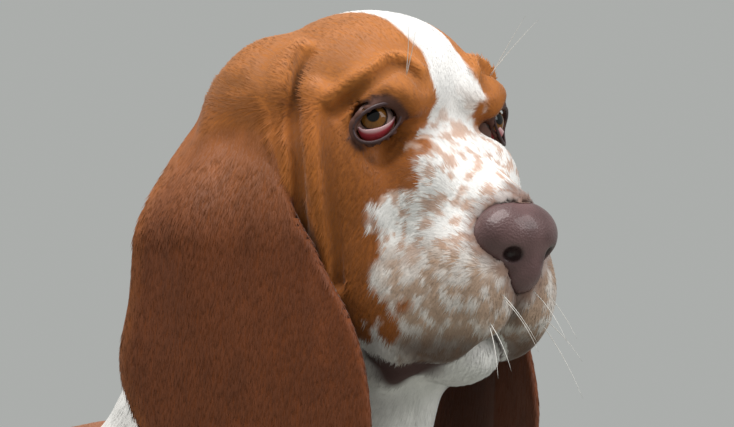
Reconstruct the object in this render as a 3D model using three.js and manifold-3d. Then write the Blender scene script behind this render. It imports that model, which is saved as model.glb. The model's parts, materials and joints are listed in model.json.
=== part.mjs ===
// A basset hound standing on four legs, life size, with the head carried high and the muzzle tipped down.
// Millimetres, +Z up, the nose towards +X and the left side towards +Y. The origin is on the ground,
// under the middle of the animal's bounding box.
import * as THREE from "three";
import { mergeVertices } from "three/addons/utils/BufferGeometryUtils.js";
import Module from "manifold-3d";

const wasm = await Module();
wasm.setup();

// Driving sizes of a grown male.
const WITHERS = 354; // ground to the top of the shoulders
const BODY_LENGTH = 655; // forechest to the back of the rump
const EYE_LEVEL = 530; // ground to the middle of the eyes
const EYE_FORWARD = 205; // withers' vertical to the middle of the eyes
const EYE_SPACING = 80; // between the middles of the eyeballs
const EYEBALL = 11.6; // radius
const HEAD_SCALE = 1.08; // head sizes below are for a head 211 mm long; this makes it 228 mm
const GAP = 0.3; // left between touching nodes

// Colours of the coat, from the photograph.
const TAN = 0xa5602f;
const RED = 0x7a3a20;
const WHITE = 0xe9e6e0;
const LEATHER = 0x4a2c2a;
const AMBER = 0x6b4418;
const CLAW = 0x5a4a40;

// The flesh is a field: below zero inside, above zero outside, about the distance in millimetres.
// A lump is an ellipsoid, tipped nose down by a pitch in degrees and turned by a yaw.
function lump(x, y, z, rx, ry, rz, pitch = 0, yaw = 0) {
  const turn = new THREE.Matrix4().makeRotationFromEuler(
    new THREE.Euler(0, THREE.MathUtils.degToRad(pitch), THREE.MathUtils.degToRad(yaw), "ZYX"),
  );
  const e = turn.clone().invert().elements;
  return (px, py, pz) => {
    const dx = px - x;
    const dy = py - y;
    const dz = pz - z;
    const ux = (e[0] * dx + e[4] * dy + e[8] * dz) / rx;
    const uy = (e[1] * dx + e[5] * dy + e[9] * dz) / ry;
    const uz = (e[2] * dx + e[6] * dy + e[10] * dz) / rz;
    const near = Math.hypot(ux, uy, uz);
    const slope = Math.hypot(ux / rx, uy / ry, uz / rz);
    return slope < 1e-9 ? -Math.min(rx, ry, rz) : (near * (near - 1)) / slope;
  };
}

// A limb is a round bar from a to b whose radius goes from ra to rb.
function limb(a, b, ra, rb) {
  const d = [b[0] - a[0], b[1] - a[1], b[2] - a[2]];
  const long = d[0] ** 2 + d[1] ** 2 + d[2] ** 2;
  return (x, y, z) => {
    const along = (x - a[0]) * d[0] + (y - a[1]) * d[1] + (z - a[2]) * d[2];
    const t = Math.min(1, Math.max(0, along / long));
    return Math.hypot(x - a[0] - t * d[0], y - a[1] - t * d[1], z - a[2] - t * d[2]) - ra - (rb - ra) * t;
  };
}

// Two fields joined with a fillet about as wide as soft.
function join(a, b, soft) {
  const h = Math.max(soft - Math.abs(a - b), 0) / soft;
  return Math.min(a, b) - (h * h * soft) / 4;
}

function flesh(soft, ...pieces) {
  return (x, y, z) => {
    let d = 1e3;
    for (const piece of pieces) d = join(d, piece(x, y, z), soft);
    return d;
  };
}

// Left and right at once, for a piece given on the left.
function pair(piece) {
  return (x, y, z) => piece(x, Math.abs(y), z);
}

// Head pieces are placed from the middle of the eyes, forward, out to the left and up.
const S = HEAD_SCALE;
function onHead(x, y, z) {
  return [EYE_FORWARD + x * S, y * S, EYE_LEVEL + z * S];
}

function headLump(x, y, z, rx, ry, rz, pitch = 0, yaw = 0) {
  return lump(...onHead(x, y, z), rx * S, ry * S, rz * S, pitch, yaw);
}

function headLimb(a, b, ra, rb) {
  return limb(onHead(...a), onHead(...b), ra * S, rb * S);
}

// The head, in one field: the round skull, the brows, the cheeks, the muzzle tipped down and the hanging lips.
const head = flesh(
  12,
  headLump(-46, 0, 12, 62, 54, 46),
  headLump(-84, 0, 12, 26, 26, 30),
  pair(headLump(-2, 25, 15, 24, 20, 14, 14, -10)),
  pair(headLump(-42, 45, -26, 42, 18, 42)),
  pair(headLump(-14, 40, -56, 26, 13, 54, -6)),
  pair(headLump(10, 21, -42, 28, 17, 36, 24)),
  pair(headLump(-76, 38, 10, 32, 22, 34)),
  headLimb([2, 0, -28], [50, 0, -62], 29, 22),
  headLimb([4, 0, -15], [58, 0, -46], 12, 13),
  pair(headLump(28, 21, -84, 37, 18, 37, 14)),
  pair(headLump(6, 30, -92, 26, 14, 32)),
  pair(headLump(52, 10, -84, 15, 14, 22)),
);
const jaw = flesh(
  12,
  headLimb([-40, 0, -84], [14, 0, -110], 27, 20),
  headLump(20, 0, -114, 24, 21, 17, 8),
  pair(headLump(-8, 24, -112, 26, 12, 20, 10)),
);

// The nose pad stands a little proud of the muzzle, wider at the top.
const nose = flesh(6, headLump(62, 0, -56, 17, 23.5, 17, 20), headLump(64, 0, -72, 12, 11, 13, 10));

// The neck, with the loose skin of the throat in front.
const neck = flesh(
  40,
  limb([22, 0, 292], [112, 0, 452], 88, 66),
  limb([112, 0, 452], [150, 0, 515], 66, 56),
  limb([112, 0, 262], [184, 0, 402], 42, 26),
);

// The trunk, from the forechest to the rump.
const CHEST_FLOOR = 112;
const TOP_LINE = WITHERS - 3;
const trunk = flesh(
  50,
  lump(-110, 0, (TOP_LINE + CHEST_FLOOR) / 2, 205, 94, (TOP_LINE - CHEST_FLOOR) / 2),
  lump(66, 0, 222, 72, 74, 90),
  lump(-22, 0, 300, 84, 56, 56),
  pair(lump(18, 64, 240, 62, 44, 98, -12)),
  lump(-320, 0, 258, 165, 78, 90),
  lump(EYE_FORWARD - BODY_LENGTH + 16, 0, 272, 94, 80, 82),
);

// The legs are short and heavy. The front ones lean in at the wrist, and all the feet turn out a little.
const WRIST_HEIGHT = 62;
const HOCK_HEIGHT = 104;
const foreleg = pair(
  flesh(
    16,
    limb([-20, 82, 190], [-8, 84, 146], 48, 40),
    limb([-8, 84, 146], [20, 72, WRIST_HEIGHT], 38, 31),
    lump(20, 70, WRIST_HEIGHT - 4, 35, 33, 27),
    limb([20, 72, WRIST_HEIGHT], [34, 74, 26], 31, 27),
  ),
);
const hindleg = pair(
  flesh(
    24,
    lump(-416, 64, 208, 82, 42, 98, 14),
    limb([-372, 82, 168], [-476, 80, HOCK_HEIGHT], 45, 27),
    limb([-476, 80, HOCK_HEIGHT], [-466, 80, 30], 26, 26),
  ),
);

// A paw: a pad with four toes in front, set from the ankle and turned out.
const PAW_TURN = 14;
const TOES = [-1.5, -0.5, 0.5, 1.5];
function pawPoint(paw, forward, out, up) {
  const turn = THREE.MathUtils.degToRad(PAW_TURN);
  return [
    paw.x + forward * Math.cos(turn) - out * Math.sin(turn),
    paw.y + forward * Math.sin(turn) + out * Math.cos(turn),
    up,
  ];
}

function toeAt(paw, i) {
  const middle = Math.abs(i) < 1;
  return pawPoint(paw, paw.long * (middle ? 0.66 : 0.5), (i * paw.wide) / 3.6, paw.long * 0.33);
}

function pawField(paw) {
  return flesh(
    7,
    lump(paw.x - 4, paw.y, paw.long * 0.44, paw.long * 0.62, paw.wide * 0.42, paw.long * 0.48, 0, PAW_TURN),
    ...TOES.map((i) => lump(...toeAt(paw, i), paw.long * 0.42, paw.wide * 0.17, paw.long * 0.37, 8, PAW_TURN)),
  );
}
const FORE_PAW = { x: 36, y: 74, long: 60, wide: 90, top: 40 };
const HIND_PAW = { x: -456, y: 80, long: 54, wide: 80, top: 38 };

// The tail leaves the rump level and curves up like a sabre.
const tailCurve = new THREE.CatmullRomCurve3(
  [
    [-488, 0, 318],
    [-560, 0, 322],
    [-630, 0, 350],
    [-682, 0, 402],
    [-708, 0, 462],
  ].map((p) => new THREE.Vector3(...p)),
);
function tailRadius(t) {
  return 25 - 19 * t;
}
const tailRoot = limb(tailCurve.getPoint(0).toArray(), tailCurve.getPoint(0.3).toArray(), 26, tailRadius(0.3));

// Where the surface of a field lies: one point for each grid cell that it crosses, then moved onto the
// surface itself, and four-sided faces between neighbouring cells, split in two.
function surface(field, [xs, ys, zs], level = 0) {
  const [nx, ny, nz] = [xs.length, ys.length, zs.length];
  const at = (i, j, k) => (i * ny + j) * nz + k;
  const value = new Float32Array(nx * ny * nz);
  xs.forEach((x, i) => ys.forEach((y, j) => zs.forEach((z, k) => {
    value[at(i, j, k)] = field(x, y, z) - level;
  })));
  const pointOf = new Int32Array(nx * ny * nz).fill(-1);
  const points = [];
  const corners = [0, 1, 2, 3, 4, 5, 6, 7].map((c) => [c & 1, (c >> 1) & 1, (c >> 2) & 1]);
  const edges = corners.flatMap((a, i) => corners.slice(i + 1)
    .filter((b) => Math.abs(a[0] - b[0]) + Math.abs(a[1] - b[1]) + Math.abs(a[2] - b[2]) === 1)
    .map((b) => [a, b]));
  for (let i = 0; i < nx - 1; i++) for (let j = 0; j < ny - 1; j++) for (let k = 0; k < nz - 1; k++) {
    const sum = [0, 0, 0];
    let crossed = 0;
    for (const [a, b] of edges) {
      const va = value[at(i + a[0], j + a[1], k + a[2])];
      const vb = value[at(i + b[0], j + b[1], k + b[2])];
      if (va < 0 === vb < 0) continue;
      const t = va / (va - vb);
      sum[0] += xs[i + a[0]] * (1 - t) + xs[i + b[0]] * t;
      sum[1] += ys[j + a[1]] * (1 - t) + ys[j + b[1]] * t;
      sum[2] += zs[k + a[2]] * (1 - t) + zs[k + b[2]] * t;
      crossed++;
    }
    if (!crossed) continue;
    pointOf[at(i, j, k)] = points.length;
    points.push(settle(field, sum.map((s) => s / crossed), level));
  }
  const faces = [];
  const quad = (inside, a, b, c, d) => {
    const [p, q, r, s] = inside ? [a, b, c, d] : [d, c, b, a];
    faces.push(p, q, r, p, r, s);
  };
  for (let i = 1; i < nx - 1; i++) for (let j = 1; j < ny - 1; j++) for (let k = 1; k < nz - 1; k++) {
    const here = value[at(i, j, k)] < 0;
    const p = (di, dj, dk) => pointOf[at(i - di, j - dj, k - dk)];
    if (here !== value[at(i + 1, j, k)] < 0) quad(here, p(0, 1, 1), p(0, 0, 1), p(0, 0, 0), p(0, 1, 0));
    if (here !== value[at(i, j + 1, k)] < 0) quad(here, p(1, 0, 1), p(1, 0, 0), p(0, 0, 0), p(0, 0, 1));
    if (here !== value[at(i, j, k + 1)] < 0) quad(here, p(1, 1, 0), p(0, 1, 0), p(0, 0, 0), p(1, 0, 0));
  }
  const geometry = new THREE.BufferGeometry();
  geometry.setAttribute("position", new THREE.Float32BufferAttribute(points.flat(), 3));
  geometry.setIndex(faces);
  return geometry;
}

// Moves a point along the steepest way to the surface, by no more than a couple of millimetres.
function settle(field, [x, y, z], level) {
  const step = 0.5;
  const most = 2.5;
  const here = field(x, y, z) - level;
  const gx = (field(x + step, y, z) - field(x - step, y, z)) / (2 * step);
  const gy = (field(x, y + step, z) - field(x, y - step, z)) / (2 * step);
  const gz = (field(x, y, z + step) - field(x, y, z - step)) / (2 * step);
  const steep = Math.max(0.3, gx * gx + gy * gy + gz * gz);
  const by = Math.max(-most, Math.min(most, here / steep));
  return [x - gx * by, y - gy * by, z - gz * by];
}

// Grid lines from low to high about cell apart.
function lines(low, high, cell) {
  const count = Math.ceil((high - low) / cell);
  return Array.from({ length: count + 1 }, (_, i) => low + ((high - low) * i) / count);
}

function solid(geometry) {
  const bare = geometry.clone();
  bare.deleteAttribute("normal");
  bare.deleteAttribute("uv");
  const merged = mergeVertices(bare, 1e-4);
  return new wasm.Manifold(new wasm.Mesh({
    numProp: 3,
    vertProperties: new Float32Array(merged.attributes.position.array),
    triVerts: new Uint32Array(merged.index.array),
  }));
}

// Whether some edge belongs to more than two faces, as where two sheets of the surface touch.
function pinched(geometry) {
  const used = new Map();
  const index = geometry.index.array;
  for (let i = 0; i < index.length; i++) {
    const [a, b] = [index[i], index[i - (i % 3) + ((i + 1) % 3)]];
    const key = `${Math.min(a, b)} ${Math.max(a, b)}`;
    used.set(key, (used.get(key) ?? 0) + 1);
  }
  return [...used.values()].some((count) => count > 2);
}

// The solid of a field. Where two sheets of the surface share one cell the mesh isn't a solid, so the
// grid is then moved by a part of a cell and tried again.
function fleshSolid(field, grid, level = 0) {
  const tries = 7;
  for (let n = 0; n < tries; n++) {
    const moved = grid.map((axis) => axis.map((v) => v + ((axis[1] - axis[0]) * n) / tries));
    const shell = surface(field, moved, level);
    if (!pinched(shell)) return largest(solid(shell));
  }
  throw new Error("no grid gives this field a closed surface");
}

// Only the largest closed surface is kept.
function largest(made) {
  return made.decompose().reduce((a, b) => (b.volume() > a.volume() ? b : a));
}

function slab(x0, x1, y0, y1, z0, z1) {
  const box = new THREE.BoxGeometry(x1 - x0, y1 - y0, z1 - z0);
  return solid(box.translate((x0 + x1) / 2, (y0 + y1) / 2, (z0 + z1) / 2));
}

const group = new THREE.Group();
function node(name, made, colour, roughness = 0.85) {
  const kept = largest(made);
  const mesh = kept.getMesh();
  const geometry = new THREE.BufferGeometry();
  geometry.setAttribute("position", new THREE.BufferAttribute(new Float32Array(mesh.vertProperties), 3));
  geometry.setIndex(new THREE.BufferAttribute(new Uint32Array(mesh.triVerts), 1));
  geometry.computeVertexNormals();
  const material = new THREE.MeshStandardMaterial({ color: colour, roughness, metalness: 0 });
  const part = new THREE.Mesh(geometry, material);
  part.name = name;
  group.add(part);
  return kept;
}

// A bar of many sides along a path.
function bar(points, radius, steps, sides = 6) {
  const section = new THREE.Shape();
  for (let i = 0; i < sides; i++) {
    const angle = (i / sides) * 2 * Math.PI;
    section[i ? "lineTo" : "moveTo"](radius * Math.cos(angle), radius * Math.sin(angle));
  }
  section.closePath();
  const extrudePath = new THREE.CatmullRomCurve3(points.map((p) => new THREE.Vector3(...p)));
  return solid(new THREE.ExtrudeGeometry(section, { steps, extrudePath, curveSegments: 1 }));
}

// Rolls of loose skin: each lies along a few points of the head and sinks half into it.
const FOLD_RADIUS = 4.2;
const FOLDS = [
  [[-46, 49, 30], [-46, 57, 10], [-38, 62, -16], [-35, 62, -40], [-40, 57, -58]],
  [[-25, 54, 8], [-20, 60, -18], [-15, 58, -42], [-16, 53, -66], [-17, 50, -84]],
  [[-12, 49, 7], [1, 45, 17], [8, 31, 26], [13, 25, 24], [19, 23, 17]],
];
function fold(points, side) {
  const laid = points.map(([x, y, z]) => {
    let at = onHead(x, y * side, z);
    for (let i = 0; i < 4; i++) at = settle(head, at, -FOLD_RADIUS * 0.45);
    return at;
  });
  return bar(laid, FOLD_RADIUS, 8);
}

// The eye opening is an almond on the eyeball, turned out from straight ahead and drooping below.
const EYE_TURN = 34;
const LID_HALF_WIDTH = 15.5;
const LID_RISE = 7.5;
const LID_DROOP = 12.5;
const LID_OUT = EYEBALL + 0.8;
function lidLine(side, from, to, high, radius, steps) {
  const points = [];
  for (let i = 0; i <= steps; i++) {
    const t = from + ((to - from) * i) / steps;
    const across = -Math.cos(t) * LID_HALF_WIDTH;
    const rise = Math.sin(t) * high;
    const out = Math.sqrt(Math.max(9, LID_OUT ** 2 - across ** 2 * 0.62 - rise ** 2 * 0.55));
    const turn = THREE.MathUtils.degToRad(EYE_TURN);
    points.push([
      EYE_FORWARD + out * Math.cos(turn) - across * Math.sin(turn),
      side * (EYE_SPACING / 2 + out * Math.sin(turn) + across * Math.cos(turn)),
      EYE_LEVEL + rise - across * 0.12,
    ]);
  }
  return bar(points, radius, steps);
}

function ball(x, y, z, rx, ry, rz, turn = 0, around = 20, down = 14) {
  const round = new THREE.SphereGeometry(1, around, down).scale(rx, ry, rz);
  return solid(round.rotateZ(THREE.MathUtils.degToRad(turn)).translate(x, y, z));
}

// A long ear: a sphere pressed flat into the ear's outline, then hung out over the neck.
const EAR_OUTLINE = new THREE.CatmullRomCurve3(
  [
    [-60, 18], [-90, 20], [-112, -2], [-116, -44], [-120, -88], [-127, -122], [-110, -158], [-80, -196],
    [-44, -216], [-10, -208], [12, -178], [19, -144], [8, -102], [-14, -68], [-38, -28],
  ].map(([x, z]) => new THREE.Vector3(x, 0, z)),
  true,
);
const EAR_MIDDLE = [-52, -118];
const EAR_HALF_THICK = 2.6;
const EAR_CUP = 6; // how far the middle of the flap stands out from its rim
function earOut(x, z) {
  const back = Math.min(1, Math.max(0, (-20 - x) / 100));
  const low = Math.min(1, Math.max(0, -z / 60));
  const front = Math.min(1, Math.max(0, (x + 34) / 46));
  return 50 + 12 * low + 34 * back * low ** 0.6 + 5 * Math.sin(Math.PI * back) - 5 * front ** 2 * low;
}

function ear(side) {
  const shape = new THREE.SphereGeometry(1, 32, 12).rotateX(Math.PI / 2);
  const place = shape.attributes.position;
  for (let i = 0; i < place.count; i++) {
    const [dx, dy, dz] = [place.getX(i), place.getY(i), place.getZ(i)];
    const reach = Math.min(1, Math.hypot(dx, dz));
    const share = Math.sin((Math.PI / 2) * reach) ** 0.8;
    const turn = ((Math.atan2(dz, dx) / (2 * Math.PI)) % 1 + 1) % 1;
    const edge = EAR_OUTLINE.getPoint(turn);
    const x = EAR_MIDDLE[0] + (edge.x - EAR_MIDDLE[0]) * share;
    const z = EAR_MIDDLE[1] + (edge.z - EAR_MIDDLE[1]) * share;
    const thick = EAR_HALF_THICK * Math.abs(dy) ** 0.45 * Math.sign(dy);
    const [wx, wy, wz] = onHead(x, earOut(x, z) + EAR_CUP * (1 - share * share), z);
    place.setXYZ(i, wx, side * (wy + thick), wz);
  }
  if (side < 0) shape.index.array.reverse();
  return solid(shape);
}

const GROUND = 0;
const FAR = 1200;

// A thin cut square to a direction through a point: what lies ahead of it and what lies behind.
function parted(made, point, direction) {
  const normal = new THREE.Vector3(...direction).normalize();
  const halves = [1, -1].map((ahead) => {
    const box = new THREE.BoxGeometry(FAR, FAR, FAR).translate(0, 0, ahead * (FAR / 2 + GAP / 2));
    const turn = new THREE.Quaternion().setFromUnitVectors(new THREE.Vector3(0, 0, 1), normal);
    return made.intersect(solid(box.applyQuaternion(turn).translate(...point)));
  });
  return halves.map(largest);
}

const HAUNCH_INNER = 40;
const ELBOW_CUT = 148;

// The outline of a haunch seen from the side, pressed out from inner to outer across the body.
function haunchCutter(side, grow) {
  const outline = new THREE.Shape();
  outline.moveTo(-338 + grow, -20);
  outline.lineTo(-338 + grow, 150);
  outline.quadraticCurveTo(-330 + grow, 250 + grow, -392, 292 + grow);
  outline.quadraticCurveTo(-480, 318 + grow, -508 - grow, 250);
  outline.lineTo(-560 - grow, 150);
  outline.lineTo(-560 - grow, -20);
  outline.closePath();
  const depth = 160;
  const slice = new THREE.ExtrudeGeometry(outline, { depth, bevelEnabled: false, curveSegments: 8 });
  slice.rotateX(Math.PI / 2).translate(0, side > 0 ? HAUNCH_INNER - grow + depth : -HAUNCH_INNER + grow, 0);
  return solid(slice);
}

const across = lines(-92, 92, 9.6);
const headGrid = [[...lines(60, 150, 14), ...lines(150, 330, 9.4).slice(1)], across, lines(370, 620, 9.6)];
const jawGrid = [lines(100, 290, 11), lines(-66, 66, 11), lines(360, 500, 11)];
const bodyGrid = [lines(-756, 290, 25), lines(-171, 171, 21.4), lines(-50, 640, 24)];
const headBare = fleshSolid(head, headGrid);
const headRoom = fleshSolid(head, headGrid, GAP * 2);
const jawRoom = fleshSolid(jaw, jawGrid, GAP * 2.5);
const noseRoom = fleshSolid(nose, headGrid, GAP * 2);
const wholeBody = flesh(20, trunk, neck, hindleg, foreleg, tailRoot);

// The head and the body are fused, and parted again by a cut behind the skull and the throat.
let rest = largest(fleshSolid(wholeBody, bodyGrid).add(headBare).subtract(jawRoom));
let [headSolid, bodySolid] = parted(rest, [128, 0, 470], [0.9, 0, 0.44]);
rest = bodySolid;
for (const side of [1, -1]) {
  const eye = [EYE_FORWARD, (side * EYE_SPACING) / 2, EYE_LEVEL];
  for (const points of FOLDS) headSolid = headSolid.add(fold(points, side));
  headSolid = headSolid
    .subtract(ball(eye[0] + 8, eye[1] + side * 6, eye[2] - 1, 20, LID_HALF_WIDTH - 3, 9, side * EYE_TURN))
    .add(lidLine(side, 0, Math.PI, LID_RISE, 3.4, 8))
    .add(lidLine(side, 0, -Math.PI, LID_DROOP, 3, 8))
    .subtract(ball(...eye, EYEBALL + GAP, EYEBALL + GAP, EYEBALL + GAP, 0, 16, 10));
  node(side > 0 ? "eye_left" : "eye_right", ball(...eye, EYEBALL, EYEBALL, EYEBALL, 0, 16, 10), AMBER);
}

// The groove of the upper lip runs down from the nose.
const groove = slab(EYE_FORWARD + 62 * S, EYE_FORWARD + 90 * S, -0.9, 0.9, EYE_LEVEL - 106 * S, EYE_LEVEL - 70 * S);
const jawSolid = node("lower_jaw", fleshSolid(jaw, jawGrid).subtract(headRoom), WHITE);
const headNode = node("head", headSolid.subtract(noseRoom).subtract(groove).subtract(jawSolid), TAN);
let noseSolid = fleshSolid(nose, headGrid);
for (const side of [1, -1]) {
  noseSolid = noseSolid.subtract(ball(...onHead(74, side * 14, -66), 8, 5.5, 4.5, side * 25, 10, 6));
}
node("nose", noseSolid, LEATHER);

// The tail is a bent cone with a round tip, parted from its root by a cut.
const TAIL_CUT = [[-532, 0, 318], [-1, 0, 0.12]];
function tailCone() {
  const shape = new THREE.SphereGeometry(1, 12, 16);
  const place = shape.attributes.position;
  for (let i = 0; i < place.count; i++) {
    const t = (1 - place.getY(i)) / 2;
    const at = tailCurve.getPoint(t);
    const ahead = tailCurve.getTangent(t);
    const round = Math.min(1, Math.sqrt((1 - t) * 14)) * Math.min(1, Math.sqrt(t * 14)) * tailRadius(t);
    const around = Math.atan2(place.getZ(i), place.getX(i));
    const lift = round * Math.sin(around);
    place.setXYZ(i, at.x - ahead.z * lift, round * Math.cos(around), at.z + ahead.x * lift);
  }
  return solid(shape);
}
node("tail", parted(tailCone(), ...TAIL_CUT)[0], TAN);
rest = parted(rest, ...TAIL_CUT)[1];

// Four claws a paw, their roots sunk in the toes.
function claws(paw) {
  return TOES.map((i) => {
    const [x, y, z] = toeAt(paw, i);
    const claw = new THREE.ConeGeometry(3.9, 17, 5).rotateZ(-Math.PI / 2 - 0.45);
    return solid(claw.translate(x + paw.long * 0.39, y + (x - paw.x) * 0.11, z - 3.3));
  });
}

for (const [name, side] of [["left", 1], ["right", -1]]) {
  const haunch = largest(rest.intersect(haunchCutter(side, 0)));
  rest = rest.subtract(haunchCutter(side, GAP));
  const [upper, lower] = parted(haunch, [-476, 0, HOCK_HEIGHT + 30], [0.35, 0, 1]);
  node("thigh_" + name, upper, TAN);
  const [shank] = parted(lower, [0, 0, HIND_PAW.top], [0, 0, 1]);
  node("hind_shank_" + name, shank, WHITE);
  const legBox = (top, inner) => slab(-90, 110, side > 0 ? inner : -160, side > 0 ? 160 : -inner, -30, top);
  const legRoom = legBox(ELBOW_CUT, 46).add(legBox(CHEST_FLOOR - 8, 12));
  const leg = largest(rest.intersect(legBox(ELBOW_CUT - GAP, 46 + GAP).add(legBox(CHEST_FLOOR - 8 - GAP, 12))));
  rest = largest(rest.subtract(legRoom));
  node("foreleg_" + name, parted(leg, [0, 0, FORE_PAW.top], [0, 0, 1])[0], WHITE);
  for (const [kind, paw] of [["fore", FORE_PAW], ["hind", HIND_PAW]]) {
    const grid = [lines(paw.x - 75, paw.x + 92, 12.5), lines(paw.y - 72, paw.y + 77, 11), lines(-30, 90, 11)];
    const foot = flesh(8, pawField(paw), kind === "fore" ? foreleg : hindleg);
    let made = fleshSolid((x, y, z) => Math.max(foot(x, y, z), z - paw.top - 20), grid);
    for (const claw of claws(paw)) made = made.add(claw);
    made = made.intersect(slab(-FAR, FAR, 0, FAR, GROUND, paw.top - GAP / 2));
    node(kind + "_paw_" + name, side > 0 ? made : made.mirror([0, 1, 0]), WHITE);
  }
}
const [neckSolid, torso] = parted(rest, [44, 0, 318], [0.56, 0, 0.83]);
const neckNode = node("neck", neckSolid, WHITE);
const [chest, loins] = parted(torso, [-235, 0, 0], [1, 0, 0]);
node("chest", chest, TAN);
node("loins", loins, TAN);
for (const [side, y] of [["left", 1], ["right", -1]]) {
  node("ear_" + side, ear(y).subtract(headRoom).subtract(headNode).subtract(neckNode), RED);
}

// The middle of the bounding box goes over the origin and the soles onto the ground.
const box = new THREE.Box3().setFromObject(group);
const middle = box.getCenter(new THREE.Vector3());
for (const part of group.children) part.geometry.translate(-middle.x, -middle.y, -box.min.z);

export default group;
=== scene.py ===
# %% [markdown]
# A basset hound, life size. The CAD model gives the solids; here one skin takes the place of its nodes of
# flesh, and a short coat, the eyes, the nose, the claws and the whiskers go on it.
# The scene is in metres and in the frame of the CAD model: nose towards +X, left side towards +Y.

# %% The frame and the tools
import json
import numpy as np
import bpy
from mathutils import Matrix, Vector

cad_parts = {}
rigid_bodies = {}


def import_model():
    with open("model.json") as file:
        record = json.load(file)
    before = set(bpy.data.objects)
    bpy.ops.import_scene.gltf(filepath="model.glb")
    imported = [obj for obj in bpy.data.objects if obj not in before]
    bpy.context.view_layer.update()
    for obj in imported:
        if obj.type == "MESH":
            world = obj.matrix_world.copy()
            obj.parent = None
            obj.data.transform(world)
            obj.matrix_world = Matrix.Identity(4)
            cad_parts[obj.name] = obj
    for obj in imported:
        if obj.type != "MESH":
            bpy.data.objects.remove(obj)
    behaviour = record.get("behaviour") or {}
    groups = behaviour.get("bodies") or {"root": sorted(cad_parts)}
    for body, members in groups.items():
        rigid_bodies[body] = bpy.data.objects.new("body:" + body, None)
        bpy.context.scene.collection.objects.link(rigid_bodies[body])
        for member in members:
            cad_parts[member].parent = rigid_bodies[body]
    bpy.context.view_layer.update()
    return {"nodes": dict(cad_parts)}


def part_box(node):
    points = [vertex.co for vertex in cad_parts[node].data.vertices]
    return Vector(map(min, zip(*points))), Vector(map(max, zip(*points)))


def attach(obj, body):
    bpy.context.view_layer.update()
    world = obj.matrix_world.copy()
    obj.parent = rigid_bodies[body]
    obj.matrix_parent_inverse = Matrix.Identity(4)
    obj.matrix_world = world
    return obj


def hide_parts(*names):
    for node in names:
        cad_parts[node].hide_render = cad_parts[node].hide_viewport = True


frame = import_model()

# %% [markdown]
# A real hound's flesh is bone and muscle under loose skin, all rounded and all running into each other.
# No sweep or lathe gives such a form, so the body is a field: a number at every point in space, below zero
# inside the flesh. Ellipsoids and tapered bars are joined with fillets, with the sizes of the CAD model.

# %% The field of the flesh
WITHERS, BODY_LENGTH = 354.0, 655.0
EYE_LEVEL, EYE_FORWARD, EYE_SPACING, EYEBALL = 530.0, 205.0, 80.0, 11.6
S = 1.08  # millimetres in one unit of the head's own measures


def lump(x, y, z, rx, ry, rz, pitch=0, yaw=0):
    """Ellipsoid |R^T (p - c) / r| = 1, pitched nose down and yawed, as a distance k (k - 1) / |grad|."""
    a, b = np.radians(pitch), np.radians(yaw)
    tip = np.array([[np.cos(a), 0, np.sin(a)], [0, 1, 0], [-np.sin(a), 0, np.cos(a)]])
    turn = np.array([[np.cos(b), -np.sin(b), 0], [np.sin(b), np.cos(b), 0], [0, 0, 1]])
    rot, c, r = turn @ tip, np.array([x, y, z], float), np.array([rx, ry, rz], float)

    def field(p):
        u = ((p - c) @ rot) / r
        near = np.sqrt((u * u).sum(-1))
        slope = np.sqrt(((u / r) ** 2).sum(-1))
        return near * (near - 1) / np.maximum(slope, 1e-9)
    return field


def limb(a, b, ra, rb):
    """Round bar from a to b: |p - a - t d| - (ra + (rb - ra) t), t clipped to 0..1."""
    a, d = np.array(a, float), np.array(b, float) - np.array(a, float)

    def field(p):
        t = np.clip(((p - a) @ d) / (d @ d), 0, 1)
        return np.linalg.norm(p - a - t[..., None] * d, axis=-1) - ra - (rb - ra) * t
    return field


def join(a, b, soft):
    """min(a, b) - h^2 soft / 4 with h = max(soft - |a - b|, 0) / soft."""
    h = np.maximum(soft - np.abs(a - b), 0) / soft
    return np.minimum(a, b) - h * h * soft / 4


def flesh(soft, *pieces):
    """Several pieces run into one, each join rounded over the length soft."""
    def field(p):
        d = pieces[0](p)
        for piece in pieces[1:]:
            d = join(d, piece(p), soft)
        return d
    return field


def pair(piece):
    """Left and right at once: the piece at (x, |y|, z)."""
    def field(p):
        return piece(np.stack([p[..., 0], np.abs(p[..., 1]), p[..., 2]], -1))
    return field


def on_head(x, y, z):
    """Head units from the middle of the eyes to millimetres round the withers."""
    return EYE_FORWARD + x * S, y * S, EYE_LEVEL + z * S


def head_lump(x, y, z, rx, ry, rz, pitch=0, yaw=0):
    """An ellipsoid given in head units."""
    return lump(*on_head(x, y, z), rx * S, ry * S, rz * S, pitch, yaw)


def head_limb(a, b, ra, rb):
    """A round bar given in head units."""
    return limb(on_head(*a), on_head(*b), ra * S, rb * S)


head = flesh(
    12, head_lump(-46, 0, 12, 62, 54, 46), head_lump(-84, 0, 12, 26, 26, 30),
    pair(head_lump(-2, 25, 15, 24, 20, 14, 14, -10)), pair(head_lump(-42, 45, -26, 42, 18, 42)),
    pair(head_lump(-14, 40, -56, 26, 13, 54, -6)), pair(head_lump(10, 21, -42, 28, 17, 36, 24)),
    pair(head_lump(-76, 38, 10, 32, 22, 34)), head_limb([2, 0, -28], [50, 0, -62], 29, 22),
    head_limb([4, 0, -15], [58, 0, -46], 12, 13), pair(head_lump(28, 21, -84, 37, 18, 37, 14)),
    pair(head_lump(6, 30, -92, 26, 14, 32)), pair(head_lump(52, 10, -84, 15, 14, 22)))
jaw = flesh(
    12, head_limb([-40, 0, -84], [14, 0, -110], 27, 20), head_lump(20, 0, -114, 24, 21, 17, 8),
    pair(head_lump(-8, 24, -112, 26, 12, 20, 10)))
nose = flesh(6, head_lump(62, 0, -56, 17, 23.5, 17, 20), head_lump(64, 0, -72, 12, 11, 13, 10))
neck = flesh(
    40, limb([22, 0, 292], [112, 0, 452], 88, 66), limb([112, 0, 452], [150, 0, 515], 66, 56),
    limb([112, 0, 262], [184, 0, 402], 42, 26))
CHEST_FLOOR, TOP_LINE = 112, WITHERS - 3
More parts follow.
